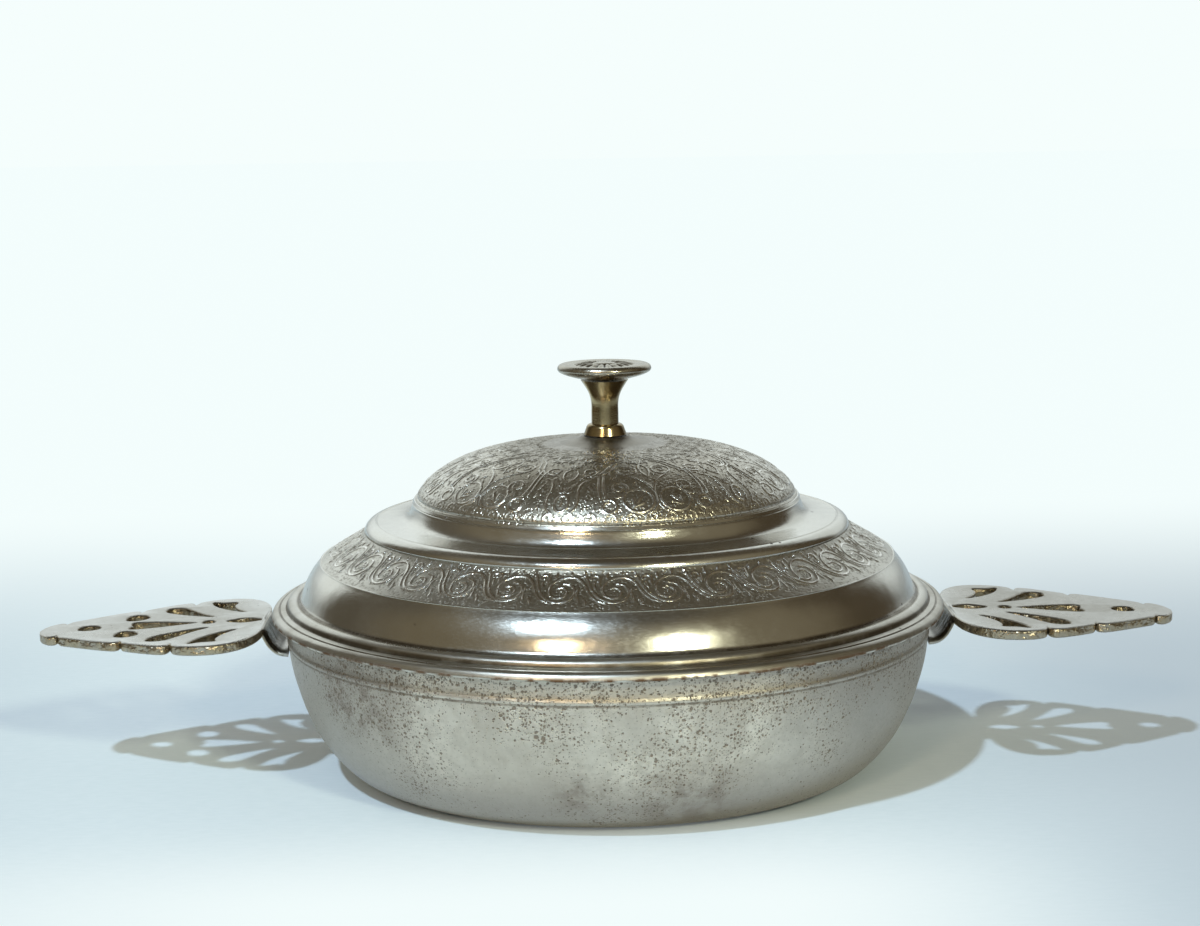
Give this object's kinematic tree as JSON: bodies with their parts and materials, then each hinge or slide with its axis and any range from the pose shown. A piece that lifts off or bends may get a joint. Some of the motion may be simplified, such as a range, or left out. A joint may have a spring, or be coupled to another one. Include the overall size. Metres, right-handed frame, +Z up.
{
  "type": "covered bowl",
  "caption": "Round pewter bowl with a flat foot, two flat pierced ears and a stepped, engraved lift-off lid with a disc knob.",
  "frame": {"origin": "centre of the flat foot, on the surface that the bowl stands on", "axes": "+Z up along the bowl's axis; +X along the two ears, towards the ear without the two small side holes"},
  "size_m": [0.3046, 0.179, 0.1083],
  "materials": {
    "pitted_pewter": "worn matte pewter with small dark pits",
    "cast_pewter": "worn satin cast pewter",
    "polished_pewter": "polished pewter with a warm grey patina",
    "knob_pewter": "worn grey metal",
    "warm_metal": "dark, worn yellow metal"
  },
  "bodies": {
    "bowl_body": {"bowl": "pitted_pewter", "ear_left": "cast_pewter", "ear_right": "cast_pewter"},
    "lid_body": {"lid_shell": "polished_pewter", "lid_bezel": "cast_pewter", "knob_stem": "warm_metal", "knob_cap": "knob_pewter", "knob_washer": "warm_metal", "knob_nut": "warm_metal"}
  },
  "joints": [
    {"name": "lid_lift", "type": "slide", "parent": "bowl_body", "child": "lid_body", "axis": [0, 0, 1], "range_m": [0, 0.12]}
  ]
}
